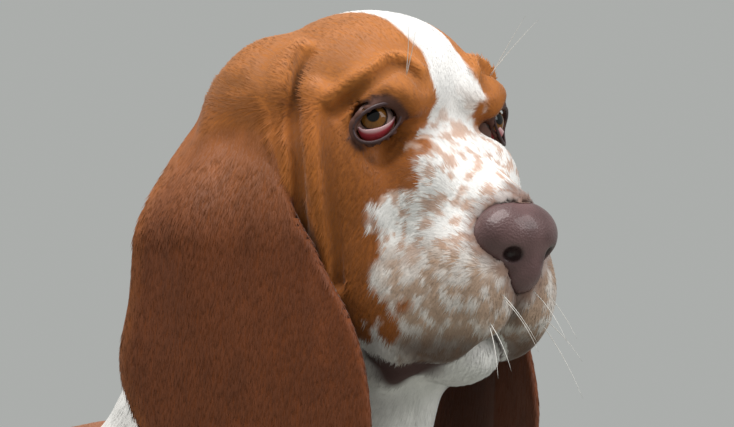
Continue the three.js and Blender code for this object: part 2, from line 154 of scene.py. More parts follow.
trunk = flesh(
    50, lump(-110, 0, (TOP_LINE + CHEST_FLOOR) / 2, 205, 94, (TOP_LINE - CHEST_FLOOR) / 2),
    lump(66, 0, 222, 72, 74, 90), lump(-22, 0, 300, 84, 56, 56), pair(lump(18, 64, 240, 62, 44, 98, -12)),
    lump(-320, 0, 258, 165, 78, 90), lump(EYE_FORWARD - BODY_LENGTH + 16, 0, 272, 94, 80, 82))
foreleg = pair(flesh(
    16, limb([-20, 82, 190], [-8, 84, 146], 48, 40), limb([-8, 84, 146], [20, 72, 62], 38, 31),
    lump(20, 70, 58, 35, 33, 27), limb([20, 72, 62], [34, 74, 26], 31, 27)))
hindleg = pair(flesh(
    24, lump(-416, 64, 208, 82, 42, 98, 14), limb([-372, 82, 168], [-476, 80, 104], 45, 27),
    limb([-476, 80, 104], [-466, 80, 30], 26, 26)))
PAW_TURN = 14
TOES = (-1.5, -0.5, 0.5, 1.5)
PAWS = [dict(x=36, y=74, long=60, wide=90), dict(x=-456, y=80, long=54, wide=80)]


def toe_at(paw, i):
    """Place of toe i, from -1.5 to 1.5 across, turned out from the paw's middle by PAW_TURN."""
    a = np.radians(PAW_TURN)
    ahead, out = paw["long"] * (0.66 if abs(i) < 1 else 0.5), i * paw["wide"] / 3.6
    return (paw["x"] + ahead * np.cos(a) - out * np.sin(a), paw["y"] + ahead * np.sin(a) + out * np.cos(a),
            paw["long"] * 0.33)


def paw_field(paw):
    """A pad and four toes."""
    long, wide = paw["long"], paw["wide"]
    pad = lump(paw["x"] - 4, paw["y"], long * 0.44, long * 0.62, wide * 0.42, long * 0.48, 0, PAW_TURN)
    toes = [lump(*toe_at(paw, i), long * 0.42, wide * 0.17, long * 0.37, 8, PAW_TURN) for i in TOES]
    return pair(flesh(7, pad, *toes))


def curve(points, count, closed=False):
    """Catmull-Rom curve through points: count points along it, evenly in its parameter."""
    p = np.asarray(points, float)
    p = np.vstack([p[-1], p, p[0], p[1]]) if closed else np.vstack([2 * p[0] - p[1], p, 2 * p[-1] - p[-2]])
    spans = len(p) - 3
    t = np.linspace(0, spans, count, endpoint=not closed)
    i = np.minimum(t.astype(int), spans - 1)
    u = (t - i)[:, None]
    a, b, c, d = p[i], p[i + 1], p[i + 2], p[i + 3]
    return 0.5 * (2 * b + (c - a) * u + (2 * a - 5 * b + 4 * c - d) * u**2 + (3 * b - a - 3 * c + d) * u**3)


tail_line = curve([[-488, 0, 318], [-560, 0, 322], [-630, 0, 350], [-682, 0, 402], [-708, 0, 462]], 11)
tail_line[-1] = tail_line[-2] + 0.78 * (tail_line[-1] - tail_line[-2])
TAIL_THICK = 25 - 1.9 * np.arange(11)
tail = flesh(0.8, *[
    limb(tail_line[i], tail_line[i + 1], TAIL_THICK[i], TAIL_THICK[i + 1]) for i in range(10)])
between_eyes = np.array([[EYE_FORWARD, 0, EYE_LEVEL]])
print("the head's field between the eyes:", round(float(head(between_eyes)[0]), 1), "mm")

# %% [markdown]
# An ear is a thin bent leaf of skin, wide and long as a hand, that hangs from low on the skull. Its outline
# is a closed curve seen from the side. The radius of that outline at each angle round the leaf's middle
# tells how far a point is inside it, and the leaf's own depth is a function of the same two coordinates.

# %% The ears
EAR_MIDDLE = np.array([-52.0, -118.0])
EAR_OUTLINE = curve(
    [[-60, 18], [-90, 20], [-112, -2], [-116, -44], [-120, -88], [-127, -122], [-110, -158], [-80, -196],
     [-44, -216], [-10, -208], [12, -178], [19, -144], [8, -102], [-14, -68], [-38, -28]], 240, closed=True)
ear_angle = np.arctan2(*(EAR_OUTLINE - EAR_MIDDLE).T[::-1])
ear_reach = np.linalg.norm(EAR_OUTLINE - EAR_MIDDLE, axis=1)
by_angle = np.argsort(ear_angle)
ear_angle, ear_reach = ear_angle[by_angle], ear_reach[by_angle]
EAR_HALF, EAR_CUP = 2.4, 6.0


def ear_share(x, z):
    """Distance from the leaf's middle as a share of the outline's, and the outline's distance."""
    angle = np.arctan2(z - EAR_MIDDLE[1], x - EAR_MIDDLE[0])
    reach = np.interp(angle, ear_angle, ear_reach, period=2 * np.pi)
    return np.hypot(x - EAR_MIDDLE[0], z - EAR_MIDDLE[1]) / reach, reach


def ear_out(x, z):
    """How far the leaf hangs out from the head's middle, in head units, with the ear's long soft folds."""
    back, fall = np.clip((-20 - x) / 100, 0, 1), np.clip((22 - z) / 84, 0, 1)
    low, front = fall * fall * (3 - 2 * fall), np.clip((x + 34) / 46, 0, 1)
    out = 50 + 12 * low + 34 * back * low + 5 * np.sin(np.pi * back) - 5 * front**2 * low
    share, _ = ear_share(x, z)
    waves = 1.5 * np.sin(x / 7.5 + z / 40 + 1.0) * np.clip((z + 150) / 110, 0, 1)
    waves = waves * (1 - np.clip(share, 0, 1) ** 4)
    return out + EAR_CUP * (1 - np.clip(share, 0, 1) ** 2) + waves


def ear(p):
    """max(|y - out| / k - half, (share - 1) reach) rounded at the rim, k = length of the leaf's gradient."""
    x, z = (p[..., 0] - EYE_FORWARD) / S, (p[..., 2] - EYE_LEVEL) / S
    share, reach = ear_share(x, z)
    out = ear_out(x, z)
    k = np.sqrt(1 + (ear_out(x + 1, z) - out) ** 2 + (ear_out(x, z + 1) - out) ** 2)
    across = (np.abs(p[..., 1]) - out * S) / k
    edge = (share - 1) * reach * S + EAR_HALF
    return np.where(edge > 0, np.hypot(across, edge), np.abs(across)) - EAR_HALF


print("ear outline points:", len(EAR_OUTLINE))

# %% [markdown]
# The hound's loose skin falls in rolls: two long ones down each side of the face and an arched one on the
# brow, each with a sharp crease beside it. They are strokes: lines on the head along which the field is
# raised or cut, fading with the distance from the line. The opening of the lids is cut the same way.

# %% Folds, creases and lids
def stroke(points, high, wide):
    """high * exp(-(d / wide)^2), d = distance to a line through points given on the left in head units."""
    line = curve([on_head(*q) for q in points], 24)
    middle, reach = line.mean(0), np.ptp(line, axis=0).max() / 2 + 3 * wide

    def field(p):
        q = np.stack([p[..., 0], np.abs(p[..., 1]), p[..., 2]], -1)
        value = np.zeros(q.shape[:-1])
        near = np.linalg.norm(q - middle, axis=-1) < reach * 1.5
        if near.any():
            q = q[near]
            best = np.full(len(q), 1e9)
            for a, b in zip(line[:-1], line[1:]):
                d = b - a
                t = np.clip(((q - a) @ d) / (d @ d), 0, 1)
                best = np.minimum(best, ((q - a - t[:, None] * d) ** 2).sum(-1))
            value[near] = high * np.exp(-best / wide**2)
        return value
    return field


STROKES = [
    stroke(
        [(-46, 46, 36), (-46, 55, 19), (-44, 59, 2), (-37, 62, -16), (-35, 62, -40), (-40, 57, -58)], 5.4, 6),
    stroke(
        [(-38, 48, 33), (-39, 54, 19), (-36, 59, 0), (-30, 61, -20), (-30, 60, -42), (-33, 55, -62)],
        -7.5, 3.6),
    stroke(
        [(-26, 52, 14), (-23, 57, -4), (-19, 59, -22), (-17, 58, -40), (-17, 53, -64), (-17, 50, -86)],
        4.6, 6),
    stroke([(-17, 54, 4), (-13, 57, -18), (-11, 57, -39), (-11, 53, -63), (-12, 50, -80)], -6.0, 3.4),
    stroke(
        [(-14, 51, 4), (-10, 47, 10), (3.6, 44, 18.5), (7, 35, 25.5), (8.6, 28, 27.6), (15, 24, 23),
         (19.7, 22, 17)], -6.5, 3.4),
    stroke([(-17, 50, 12), (-8, 46, 18), (2, 42, 25), (4, 33, 31), (8, 24, 31), (14, 20, 26)], 4.0, 5.5),
    stroke([(-8, 45, 2), (2, 43, 10.5), (10, 38, 14.5), (15, 31, 12), (17, 27, 6)], 3.4, 4.5),
    stroke([(-10, 46, -16), (-2, 43, -19), (6, 38, -19), (12, 32, -15)], -1.6, 3.5),
]
GROOVE = stroke([(76, 0, -76), (73, 0, -86), (66, 0, -97), (60, 0, -104)], -3.4, 2.0)
EYE_TURN = np.radians(34)
LID_WIDE, LID_RISE, LID_DROOP, LID_TILT = 13.2, 8.6, 11.8, 0.34
LID_OUT = EYEBALL + 0.8
UPPER_LID_THICK, LOWER_LID_THICK = 2.9, 2.2


def lid_point(across, out, rise):
    """A point by the left eye: across it to the rear, out from it and up, with the tilt of the lids."""
    return (EYE_FORWARD + out * np.cos(EYE_TURN) - across * np.sin(EYE_TURN),
            EYE_SPACING / 2 + out * np.sin(EYE_TURN) + across * np.cos(EYE_TURN),
            EYE_LEVEL + rise - across * LID_TILT)


def lid_line(start, end, high, count, wide=LID_WIDE, out_by=0.0):
    """Edge of a lid on the left eye: (-cos t wide, sin t high) laid over the eyeball and turned out."""
    t = np.linspace(start, end, count)
    across, rise = -np.cos(t) * wide, np.sin(t) * high
    out = np.sqrt(np.maximum(9, LID_OUT**2 - across**2 * 0.62 - rise**2 * 0.55)) + out_by
    return np.stack(lid_point(across, out, rise), -1)


def lid_bars(line, thick):
    """Round bars from point to point of a lid's edge."""
    return [limb(a, b, thick, thick) for a, b in zip(line[:-1], line[1:])]


upper_lid = lid_bars(lid_line(0, np.pi, LID_RISE, 9), UPPER_LID_THICK)
lower_lid = lid_bars(lid_line(0, -np.pi, LID_DROOP, 9), LOWER_LID_THICK)
lids = pair(flesh(2, *upper_lid, *lower_lid))
ear_root = pair(flesh(
    12, head_limb([-52, 47, 14], [-92, 57, -6], 9, 8), head_limb([-92, 58, -6], [-104, 70, -36], 8, 3)))
eyeball = pair(lump(EYE_FORWARD, EYE_SPACING / 2, EYE_LEVEL, EYEBALL, EYEBALL, EYEBALL))
opening = pair(flesh(
    1, *[limb(lid_point(-3.4, out, -1.4), lid_point(3.4, out, -1.4), 8.0, 8.0) for out in (10, 18)]))


def whole(p):
    """The dog's field: rounded joins, then the strokes, the eye openings and the ears."""
    d = join(head(p), jaw(p), 2.5)
    for piece in STROKES + [GROOVE]:
        d = d - piece(p)
    d = np.maximum(d, -opening(p))
    d = join(d, lids(p), 4)
    d = np.maximum(d, -(eyeball(p) - 0.2))
    d = np.maximum(d, -(nose(p) + 1.5))
    rise = np.clip((p[..., 2] - EYE_LEVEL + 30) / 45, 0, 1)
    leaf = ear(p)
    d = join(d, join(leaf, ear_root(p), 10), 2 + 26 * rise)
    body = flesh(20, trunk, neck, hindleg, foreleg, tail)(p)
    for paw in PAWS:
        body = join(body, paw_field(paw)(p), 8)
    d = join(d, body, np.where(leaf < 6, 4, 14))
    low = np.clip((EYE_LEVEL - 70 - p[..., 2]) / 60, 0, 1)
    inset = np.where(leaf < 8, 0.5, 0.9 + 1.1 * low)
    return np.maximum(d + inset, 0.8 - p[..., 2])


print("strokes:", len(STROKES) + 1)

# %% [markdown]
# The skin is the surface where the field is zero. The grid is fine over the head and the ears and coarser
# over the body. Each grid cell that the surface crosses gives one point, which then slides down the field's
# slope onto the surface, and four cells round each crossed grid edge give one face. Whole blocks of the grid
# that lie far from the surface are skipped.

# %% The skin's surface
FINE, COARSE = 2.3, 6.5
DRIFT = 0.37  # keeps every grid line off the plane of symmetry
CHANGES = [
    [(-760, COARSE), (60, FINE), (302, FINE)],
    [(-150, COARSE), (-122, FINE), (122, COARSE), (150, COARSE)],
    [(-14, COARSE * 0.8), (88, COARSE), (288, FINE), (602, FINE)]]


def grid_lines(changes):
    """Grid lines whose spacing changes at the given places."""
    parts = [np.arange(a, b, cell) for (a, cell), (b, _) in zip(changes[:-1], changes[1:])]
    return np.concatenate(parts + [[changes[-1][0]]]) + DRIFT


AXES = [grid_lines(c) for c in CHANGES]


def sample(field, axes, size=14):
    """Field values on the grid, in blocks. A block that lies well clear of the surface gets 99 or -99."""
    value = np.ones([len(a) for a in axes], np.float32) * 99
    cuts = [[(i, min(i + size, len(a))) for i in range(0, len(a), size)] for a in axes]
    blocks = [(bx, by, bz) for bx in cuts[0] for by in cuts[1] for bz in cuts[2]]
    low = np.array([[axes[k][b[k][0]] for k in range(3)] for b in blocks])
    high = np.array([[axes[k][b[k][1] - 1] for k in range(3)] for b in blocks])
    centre = field((low + high) / 2)
    half_diagonal = np.linalg.norm(high - low, axis=1) * 0.5
    near = np.abs(centre) < half_diagonal * 1.5 + 14
    for block, there, v in zip(blocks, near, centre):
        (x0, x1), (y0, y1), (z0, z1) = block
        if there:
            spans = axes[0][x0:x1], axes[1][y0:y1], axes[2][z0:z1]
            value[x0:x1, y0:y1, z0:z1] = field(np.stack(np.meshgrid(*spans, indexing="ij"), -1))
        elif v < 0:
            value[x0:x1, y0:y1, z0:z1] = -99
    return value


print("grid of", " x ".join(str(len(a)) for a in AXES))

# %% [markdown]
# Each cell's point starts at the mean of the places where the surface crosses the cell's edges. A step down
# the slope then lays it on the surface, and the slope is the skin's normal, which the tufts need too.

# %% From cells to skin
def settle(field, p, step=0.5, most=2.5):
    """One step down the slope g, p - g f / |g|^2, and the unit slope, from central differences."""
    g = np.stack([(field(p + step * e) - field(p - step * e)) / (2 * step) for e in np.eye(3)], -1)
    steep = np.maximum((g * g).sum(-1), 0.3)
    moved = p - g * np.clip(field(p) / steep, -most, most)[:, None]
    return moved, g / np.maximum(np.linalg.norm(g, axis=1), 1e-9)[:, None]


def cell_points(axes, value, cell):
    """The mean of the places where the field crosses nought on the twelve edges of each cell."""
    total, crossed = np.zeros((len(cell), 3)), np.zeros(len(cell))
    for axis in range(3):
        for u in (0, 1):
            for v in (0, 1):
                a = cell.copy()
                a[:, (axis + 1) % 3] += u
                a[:, (axis + 2) % 3] += v
                b = a.copy()
                b[:, axis] += 1
                va, vb = value[tuple(a.T)], value[tuple(b.T)]
                mixed = (va < 0) != (vb < 0)
                t = np.where(mixed, va / np.where(mixed, va - vb, 1), 0)[:, None]
                pa = np.stack([axes[k][a[:, k]] for k in range(3)], -1)
                pb = np.stack([axes[k][b[:, k]] for k in range(3)], -1)
                total += (pa * (1 - t) + pb * t) * mixed[:, None]
                crossed += mixed
    return total / crossed[:, None]


def crossed_quads(inside, number):
    """A quad round each crossed grid edge, from the four cells that share it, facing outwards."""
    quads = []
    for axis in range(3):
        u, v = (axis + 1) % 3, (axis + 2) % 3
        first = np.take(inside, range(inside.shape[axis] - 1), axis)
        second = np.take(inside, range(1, inside.shape[axis]), axis)
        at = np.argwhere(first != second)
        at = at[(at[:, u] > 0) & (at[:, v] > 0) & (at[:, u] < number.shape[u]) & (at[:, v] < number.shape[v])]
        ring = []
        for du, dv in ((1, 1), (0, 1), (0, 0), (1, 0)):
            c = at.copy()
            c[:, u] -= du
            c[:, v] -= dv
            ring.append(number[tuple(c.T)])
        ring = np.stack(ring, -1)
        flip = ~inside[tuple(at.T)]
        ring[flip] = ring[flip][:, ::-1]
        quads.append(ring)
    return np.concatenate(quads)


def surface(axes, value):
    """Surface nets: one point in each cell with corners on both sides, and a quad round each crossed edge."""
    inside = value < 0
    nx, ny, nz = np.array(inside.shape) - 1
    corners = [(i, j, k) for i in (0, 1) for j in (0, 1) for k in (0, 1)]
    count = sum(inside[i:nx + i, j:ny + j, k:nz + k].astype(np.int8) for i, j, k in corners)
    cell = np.argwhere((count > 0) & (count < 8))
    number = -np.ones(count.shape, np.int64)
    number[tuple(cell.T)] = np.arange(len(cell))
    return cell_points(axes, value, cell), crossed_quads(inside, number)


points, quads = surface(AXES, sample(whole, AXES))
points, normals = settle(whole, points)
print("skin points", len(points), "quads", len(quads))

# %% [markdown]
# The pieces are meshes built from whole arrays. Each carries its colours as an attribute on its points,
# because the same formulas of place colour the skin and every tuft that grows from it.

# %% Making meshes
def centre_of(node):
    """Middle of a solid's box, in metres."""
    low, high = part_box(node)
    return (np.array(low) + np.array(high)) / 2


SHIFT = (centre_of("eye_left") + centre_of("eye_right")) / 2 - np.array([EYE_FORWARD, 0, EYE_LEVEL]) / 1000


def place(p):
    """Millimetres round the withers to metres in the frame."""
    return np.asarray(p) / 1000 + SHIFT


def mesh_object(name, verts, faces, finish, colour=None, uv=None):
    """A mesh from points and faces of 3 or 4 corners, with point colours and loop coordinates if given."""
    mesh = bpy.data.meshes.new(name)
    faces = np.asarray(faces)
    corners = faces.shape[1]
    mesh.vertices.add(len(verts))
    mesh.vertices.foreach_set("co", np.asarray(verts, np.float32).ravel())
    mesh.loops.add(faces.size)
    mesh.loops.foreach_set("vertex_index", faces.astype(np.int32).ravel())
    mesh.polygons.add(len(faces))
    mesh.polygons.foreach_set("loop_start", np.arange(0, faces.size, corners, dtype=np.int32))
    mesh.polygons.foreach_set("loop_total", np.full(len(faces), corners, np.int32))
    mesh.polygons.foreach_set("use_smooth", np.full(len(faces), True))
    mesh.update(calc_edges=True)
    if colour is not None:
        data = mesh.attributes.new("coat", "FLOAT_COLOR", "POINT").data
        data.foreach_set("color", np.hstack([colour, np.ones((len(verts), 1))]).astype(np.float32).ravel())
    if uv is not None:
        mesh.uv_layers.new(name="OFBake").data.foreach_set("uv", np.asarray(uv, np.float32).ravel())
    piece = bpy.data.objects.new(name, mesh)
    piece.data.materials.append(finish)
    bpy.context.scene.collection.objects.link(piece)
    return piece


print("the withers stand at", SHIFT.round(4), "in the frame")

# %% [markdown]
# Claws, whiskers and lid edges are round tubes along a line. The right side is the left one mirrored, and
# several tubes are merged into one piece.

# %% Tubes and mirrored shapes
def grid_faces(rows, columns, closed=True):
    """Quads of a grid of points, rows by columns, joined round the columns when closed."""
    i, j = np.meshgrid(np.arange(rows - 1), np.arange(columns if closed else columns - 1), indexing="ij")
    k = (j + 1) % columns
    near, far = i * columns, (i + 1) * columns
    return np.stack([near + j, near + k, far + k, far + j], -1).reshape(-1, 4)


def tube(line, radius, sides=10):
    """Round tube along a line of points with a radius at each: p + r (side cos a + up sin a).

    Known fault: the ends are doubled before the direction is taken, so it is nought there and the two end
    rings are not a number. A render leaves their faces out, and the export puts them at the origin. The
    direction should come from the line before its ends are doubled, with its first and last values repeated.
    """
    line, radius = np.asarray(line, float), np.asarray(radius, float)
    line = np.vstack([line[0], line, line[-1]])
    radius = np.concatenate([[1e-3], radius, [1e-3]])
    ahead = np.gradient(line, axis=0)
    ahead /= np.maximum(np.linalg.norm(ahead, axis=1), 1e-9)[:, None]
    side = np.cross(ahead, [0.31, 0.17, 0.94])
    side /= np.linalg.norm(side, axis=1)[:, None]
    up = np.cross(side, ahead)
    a = np.linspace(0, 2 * np.pi, sides, endpoint=False)
    ring = side[:, None] * np.cos(a)[None, :, None] + up[:, None] * np.sin(a)[None, :, None]
    return (line[:, None] + ring * radius[:, None, None]).reshape(-1, 3), grid_faces(len(line), sides)


def mirror(verts, faces):
    """The same piece on the other side, faces still outwards."""
    return np.asarray(verts) * [1, -1, 1], np.asarray(faces)[:, ::-1]


def merge(*shapes):
    """Several (verts, faces) as one."""
    starts = np.cumsum([0] + [len(v) for v, _ in shapes[:-1]])
    return np.vstack([v for v, _ in shapes]), np.vstack([f + n for (_, f), n in zip(shapes, starts)])


print("faces of a square grid of nine points:", len(grid_faces(3, 3, False)))

# %% [markdown]
# Shader maths is written as sums. This class wraps a socket, so that a plus or a times adds a Math node.

# %% Shader values
class Socket:
    """A shader value that can be reckoned with: a + b and a * b each add a Math node."""

    def __init__(self, tree, out):
        self.tree, self.out = tree, out

    def node(self, kind, output=0, settings=(), **inputs):
        """Any node: settings are (property, value) pairs, inputs go by name with underscores for spaces."""
        made = self.tree.nodes.new(kind)
        for key, value in settings:
            setattr(made, key, value)
        for key, value in inputs.items():
            by_number = key[0] == "i" and key[1:].isdigit()
            target = made.inputs[int(key[1:]) if by_number else key.replace("_", " ")]
            if isinstance(value, Socket):
                self.tree.links.new(value.out, target)
            else:
                target.default_value = value
        return Socket(self.tree, made.outputs[output])

    def math(self, operation, other, swap=False):
        """A Math node on this value and another, the other one first when swapped."""
        a, b = (other, self) if swap else (self, other)
        return self.node("ShaderNodeMath", 0, [("operation", operation)], i0=a, i1=b)

    def __add__(self, other):
        return self.math("ADD", other)

    def __radd__(self, other):
        return self.math("ADD", other, True)

    def __mul__(self, other):
        return self.math("MULTIPLY", other)

    def __rmul__(self, other):
        return self.math("MULTIPLY", other, True)


print("sums that a socket knows:", [name for name in vars(Socket) if name in ("__add__", "__mul__")])

# %% [markdown]
# Six finishes serve the whole dog. All read their colour from the points, and they differ in how rough, how
# wet and how grained they are. Noise gives skin its fine bump, and cells give the nose leather its pebbles.

# %% The finishes
def material(name, roughness=0.6, coat=0.0, bump=0.0, grain=900.0, specular=0.35, mottle=0.0, sheen=0.0):
    """Colour from the points, a fine bump in object coordinates, and a finish held in the sockets."""
    made = bpy.data.materials.new(name)
    made.use_nodes = True
    tree = made.node_tree
    shader = tree.nodes["Principled BSDF"]
    shader.inputs["Roughness"].default_value = roughness
    shader.inputs["Specular IOR Level"].default_value = specular
    shader.inputs["Coat Weight"].default_value = coat
    shader.inputs["Coat Roughness"].default_value = 0.03
    shader.inputs["Sheen Weight"].default_value = sheen
    start = Socket(tree, None)
    colour = start.node("ShaderNodeAttribute", 0, [("attribute_name", "coat")])
    where = start.node("ShaderNodeTexCoord", 3)
    if bump:
        pores = start.node("ShaderNodeTexNoise", 0, Vector=where, Scale=grain, Detail=3.0)
        cells = start.node("ShaderNodeTexVoronoi", 0, Vector=where, Scale=grain * 1.7)
        height = pores * (1 - mottle) + cells * mottle
        relief = start.node("ShaderNodeBump", 0, Height=height, Strength=bump, Distance=0.0004)
        tree.links.new(relief.out, shader.inputs["Normal"])
        shine = 0.1 * pores + (roughness - 0.05)
        tree.links.new(shine.out, shader.inputs["Roughness"])
    tree.links.new(colour.out, shader.inputs["Base Color"])
    return made


SKIN = material("skin", 0.75, bump=0.5, grain=700, specular=0.25)
FUR = material("fur", 0.55, specular=0.3, sheen=0.15)
WET = material("wet eye", 0.1, coat=0.35, specular=0.15)
MOIST = material("moist skin", 0.45, coat=0.12, bump=0.25, grain=900)
LEATHER = material("nose leather", 0.42, coat=0.25, bump=0.8, grain=480, mottle=0.7)
HORN = material("claw horn", 0.4, bump=0.1, grain=300)
print("materials:", [m.name for m in bpy.data.materials])

# %% [markdown]
# The markings are formulas of place. A white blaze runs down the middle of the face and spreads over the
# muzzle; its edge is a half width for each height, made uneven by noise. Tan freckles and roan lie over the
# white. The ears are mahogany, the throat and collar white, and a tan saddle covers the back.

# %% The markings
def noise(p, cell, seed=0):
    """Value noise from 0 to 1: hashed corners of a lattice of that cell, blended by 3 t^2 - 2 t^3."""
    q = p / cell
    base = np.floor(q)
    t = q - base
    t = t * t * (3 - 2 * t)
    total = np.zeros(len(p))
    for dx in (0, 1):
        for dy in (0, 1):
            for dz in (0, 1):
                dot = (base + [dx, dy, dz]) @ np.array([127.1, 311.7, 74.7]) + seed * 17.3
                hashed = np.modf(np.abs(np.sin(dot) * 43758.5453))[0]
                weight = np.abs(1 - dx - t[:, 0]) * np.abs(1 - dy - t[:, 1]) * np.abs(1 - dz - t[:, 2])
                total += hashed * weight
    return total


def ramp(low, high, value):
    """Smooth step from 0 at low to 1 at high."""
    t = np.clip((value - low) / (high - low), 0, 1)
    return t * t * (3 - 2 * t)


def mix(a, b, share):
    """Colours a moved towards b by a share for each point."""
    return a + (np.asarray(b) - a) * share[:, None]


TAN = np.array([0.35, 0.112, 0.021])
BROW = np.array([0.41, 0.145, 0.032])
CHEEK = np.array([0.27, 0.08, 0.013])
SADDLE = np.array([0.34, 0.13, 0.06])
EAR_RED = np.array([0.165, 0.043, 0.0105])
EAR_TOP = np.array([0.33, 0.108, 0.027])
# The ear's inner side: its barer skin together with painted shade.
EAR_LINING_AND_SHADE = np.array([0.10, 0.035, 0.02])
WHITE = np.array([0.80, 0.78, 0.76])
FRECKLE = np.array([0.46, 0.24, 0.14])
ROAN = np.array([0.36, 0.20, 0.105])
LIP = np.array([0.10, 0.055, 0.038])
ROUND_NOSE = np.array([0.2, 0.12, 0.10])
BARE = np.array([0.07, 0.035, 0.032])
print("colours of the coat:", len((TAN, BROW, CHEEK, SADDLE, EAR_RED, EAR_TOP, WHITE, FRECKLE, ROAN, LIP)))

# %% [markdown]
# The face is tan, darker low on the cheek, brighter on the brow, with painted shade in the creases and
# painted light on the rolls. The muzzle is white with freckles on its bridge, roan on the hanging lips and
# dark at their edge.

# %% Colours of the face
# Painted shade: each crease stroke darkens the tan by its share, most where the crease is deepest.
CREASE_SHADE = {1: (7.5, 0.8), 3: (6.0, 0.75), 4: (6.5, 0.7), 7: (1.6, 0.6)}  # stroke: its depth, its darkening
# Painted light: these rolls are lightened in step with their height.
LIT_ROLLS = (0, 2, 5)


def face_tan_with_painted_shade(p, x, wide, z):
    """Tan with painted shade in the creases, 1 - share (depth / full depth)^1.6, and painted light on the
    rolls.
    """
    colour = np.tile(TAN, (len(p), 1))
    colour = mix(colour, CHEEK, ramp(10, -40, z) * ramp(-20, 10, x + wide * 0.1) * 0.8)
    colour = mix(colour, BROW, ramp(4, 22, z) * 0.8)
    # Painted shade darkens the creases, and painted light brightens the rolls.
    for piece, (depth, share) in CREASE_SHADE.items():
        colour *= (1 - share * (np.abs(STROKES[piece](p)) / depth) ** 1.6)[:, None]
    for piece in LIT_ROLLS:
        colour *= (1 + 0.07 * STROKES[piece](p))[:, None]
    return colour


def muzzle_white(p, x, y, z):
    """White, then the freckles, the roan, the dark edge of the lips and the skin round the nose."""
    spots = ramp(0.60, 0.68, noise(p, 6.5, 3)) * ramp(-78, -58, z) * ramp(22, -8, z)
    spots = np.maximum(spots, ramp(0.62, 0.70, noise(p, 3.4, 4)) * ramp(-80, -60, z) * ramp(12, -12, z))
    roan = ramp(-52, -72, z) * ramp(4, 22, x) * (0.35 + 0.65 * ramp(0.35, 0.6, noise(p, 4.2, 5)))
    edge = ramp(-98, -112, z) * ramp(8, 26, x) + ramp(9, 2, np.abs(y)) * ramp(52, 60, x) * 0.8
    pale = mix(np.tile(WHITE, (len(p), 1)), FRECKLE, spots * 0.75)
    pale = mix(pale, ROAN, roan * 0.82)
    pale = mix(pale, LIP, np.clip(edge, 0, 1) * 0.85)
    return mix(pale, ROUND_NOSE, ramp(9, 1, nose(p)) * 0.7)


print("creases", len(CREASE_SHADE), "rolls", len(LIT_ROLLS))

# %% [markdown]
# The ears are mahogany, lighter where they leave the skull, and dark inside from barer skin and painted
# shade.
# The body is white under a tan saddle, with a tan nape, one white patch behind the withers and a white tip to
# the tail.

# %% Colours of the ears and the body
def ear_red(p, x, wide, z, on_ear):
    """Mahogany, lighter at the top and the rear edge, streaked along the hair, inner side dark: barer skin,
    painted shade.
    """
    share, _ = ear_share(x, z)
    lighter = ramp(-70, 14, z) + ramp(0.8, 1.0, share) * ramp(-40, -90, x) * 0.6
    red = mix(np.tile(EAR_RED, (len(p), 1)), EAR_TOP, np.clip(lighter, 0, 1) * 0.8)
    red *= (0.85 + 0.3 * noise(p * [1, 1, 0.25], 7, 6))[:, None]
    # The side that faces the head is darker, partly from barer skin and partly from painted shade.
    inner = on_ear * (wide < ear_out(x, z) - 0.3)
    return mix(red, EAR_LINING_AND_SHADE, inner * 0.6)


def body_colour(p, uneven, rear):
    """White, with the share of tan from the saddle, less the tail's tip and the patch, and from the nape."""
    base = (p[:, 0] - 30) * 0.56 + (p[:, 2] - 318) * 0.83 + uneven * 1.5
    flank = ramp(-6, 6, p[:, 2] - 196 - 22 * np.sin(p[:, 0] / 95) + uneven * 2)
    saddle = ramp(-3, 3, -base) * flank * (p[:, 0] < 70)
    tip = ramp(-640, -655, p[:, 0] + uneven)
    patch = ramp(30, 24, np.linalg.norm((p - [-34, -62, 338]) / [1, 1, 0.8], axis=1) + uneven)
    nape = ramp(-6, 6, rear + 30 + uneven) * ramp(-10, 10, p[:, 2] - 478 + uneven)
    share = np.clip(saddle * (1 - tip) * (1 - patch) + nape, 0, 1)
    return mix(np.tile(WHITE, (len(p), 1)), SADDLE, share)


print("the saddle's tan", SADDLE)

# %% [markdown]
# The colours are laid over one another: the face, the blaze, the throat and mouth, the ears, the body and
# last the dark rims of the eyes. The same function says where the skin is bare, so that no tuft grows there.

# %% The whole coat's colour
BLAZE_AT = [-125, -118, -78, -42, -34, -14, 0, 30, 50, 62]
BLAZE_HALF = [40, 43, 46, 45.5, 37, 29, 15, 13, 14, 15]


